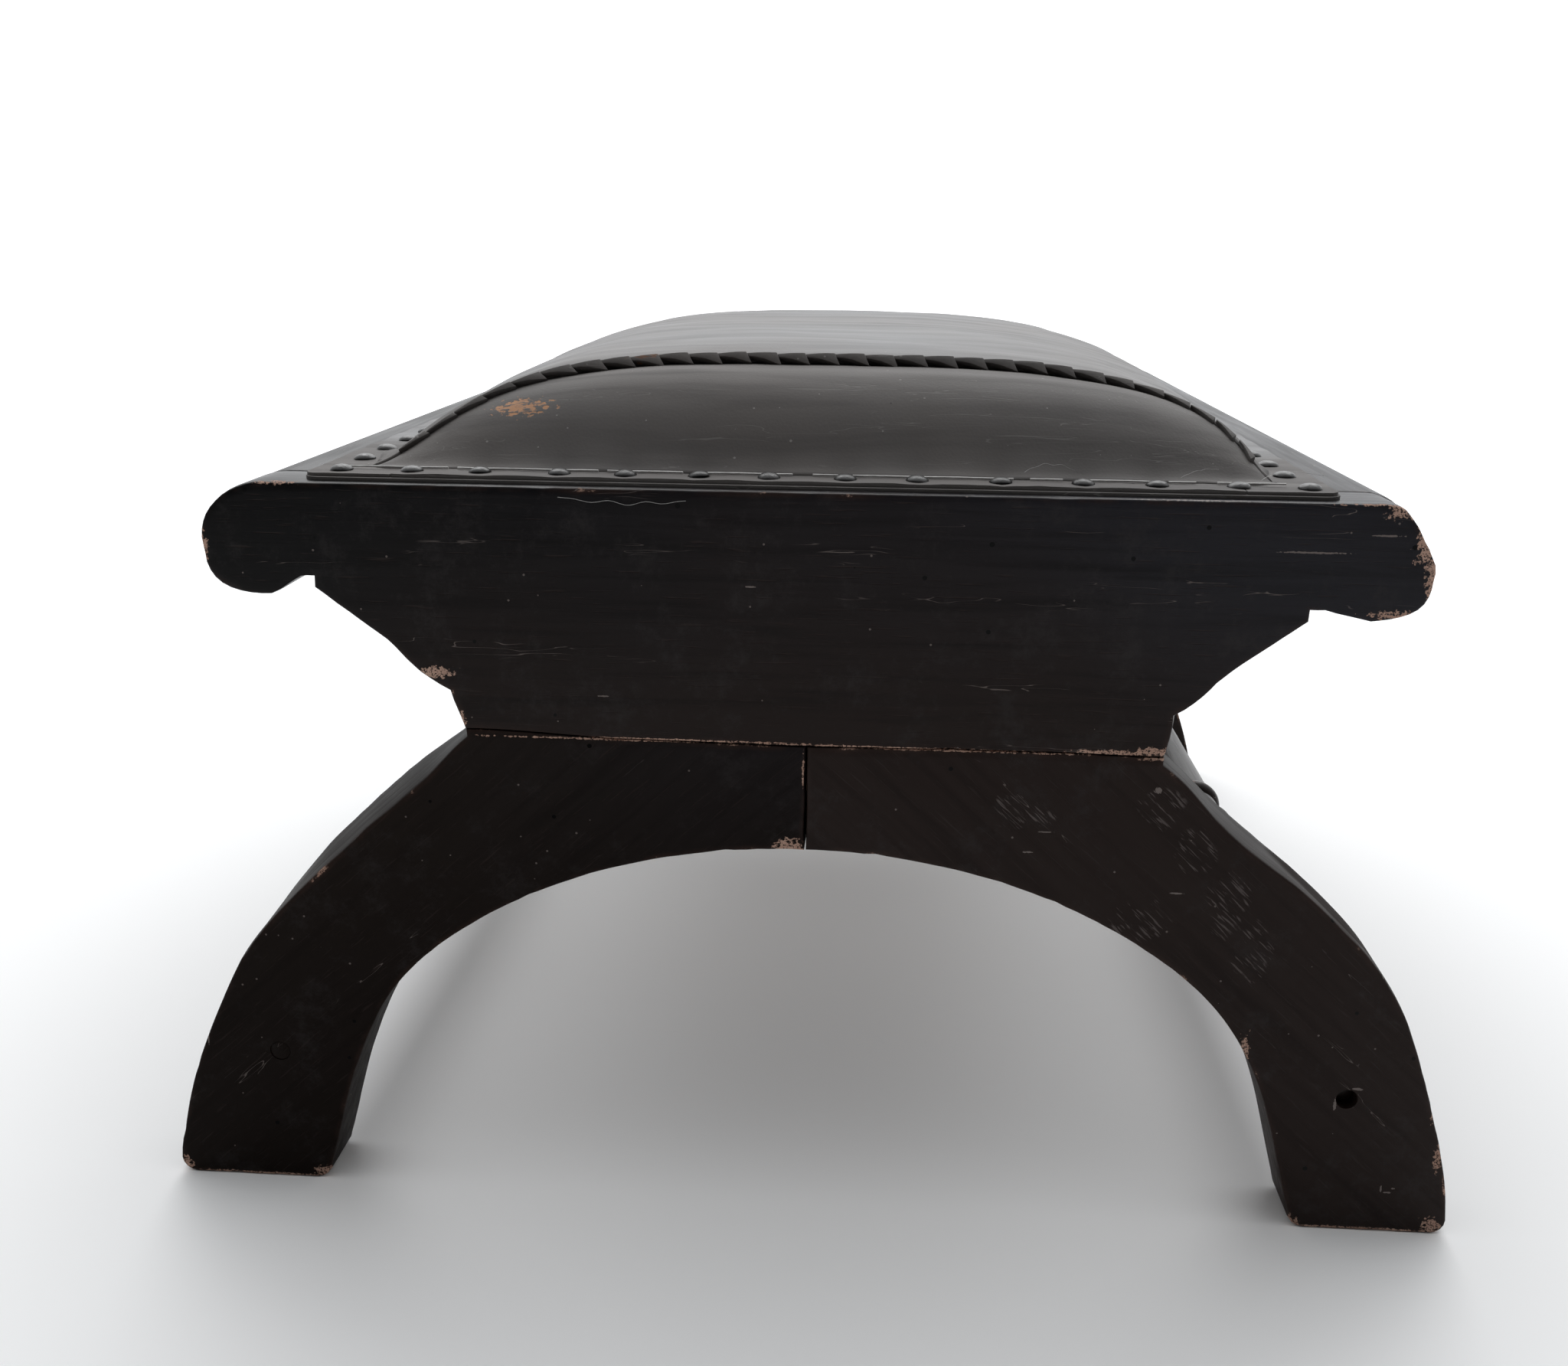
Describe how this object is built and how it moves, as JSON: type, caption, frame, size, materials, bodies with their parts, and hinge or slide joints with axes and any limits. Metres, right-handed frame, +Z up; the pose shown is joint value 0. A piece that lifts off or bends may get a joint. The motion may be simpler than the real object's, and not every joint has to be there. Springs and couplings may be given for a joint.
{
  "type": "camel saddle stool",
  "caption": "Low camel saddle stool: arched, scroll-ended frames joined by round-nosed rails and turned stretchers, under a domed leather seat that is laced and nailed.",
  "frame": {"origin": "on the floor, midway between the feet in X and Y", "axes": "+Z up, +Y along the stool from the front end frame to the rear one, +X to the right when looking along +Y"},
  "size_m": [0.494, 0.52, 0.3247],
  "materials": {
    "ebonised_wood": "satin black-brown lacquer, worn at the edges",
    "peg_wood": "end grain, stained",
    "deck_wood": "sawn, unfinished",
    "dowel_wood": "turned, unfinished",
    "base_hide": "flat black hide",
    "seat_leather": "semi-gloss, scratched and dusty",
    "lace": "flat lace, semi-gloss",
    "stuffing": "loose fibre",
    "nail_metal": "black japanned domes"
  },
  "bodies": {
    "root": {"front_end_board": "ebonised_wood", "rear_end_board": "ebonised_wood", "front_left_leg": "ebonised_wood", "front_right_leg": "ebonised_wood", "rear_left_leg": "ebonised_wood", "rear_right_leg": "ebonised_wood", "left_seat_rail": "ebonised_wood", "right_seat_rail": "ebonised_wood", "left_stretcher": "ebonised_wood", "right_stretcher": "ebonised_wood", "front_left_peg": "peg_wood", "front_right_peg": "peg_wood", "rear_left_peg": "peg_wood", "rear_right_peg": "peg_wood", "front_frame_dowels": "dowel_wood", "rear_frame_dowels": "dowel_wood", "base_leather": "base_hide", "seat_stuffing": "stuffing", "front_leather_panel": "seat_leather", "rear_leather_panel": "seat_leather", "long_leather_panel": "seat_leather", "front_lacing": "lace", "rear_lacing": "lace", "front_nails": "nail_metal", "rear_nails": "nail_metal", "left_nails": "nail_metal", "right_nails": "nail_metal", "seat_plank_1": "deck_wood", "seat_plank_2": "deck_wood", "seat_plank_3": "deck_wood", "seat_plank_4": "deck_wood", "seat_plank_5": "deck_wood"}
  },
  "joints": []
}
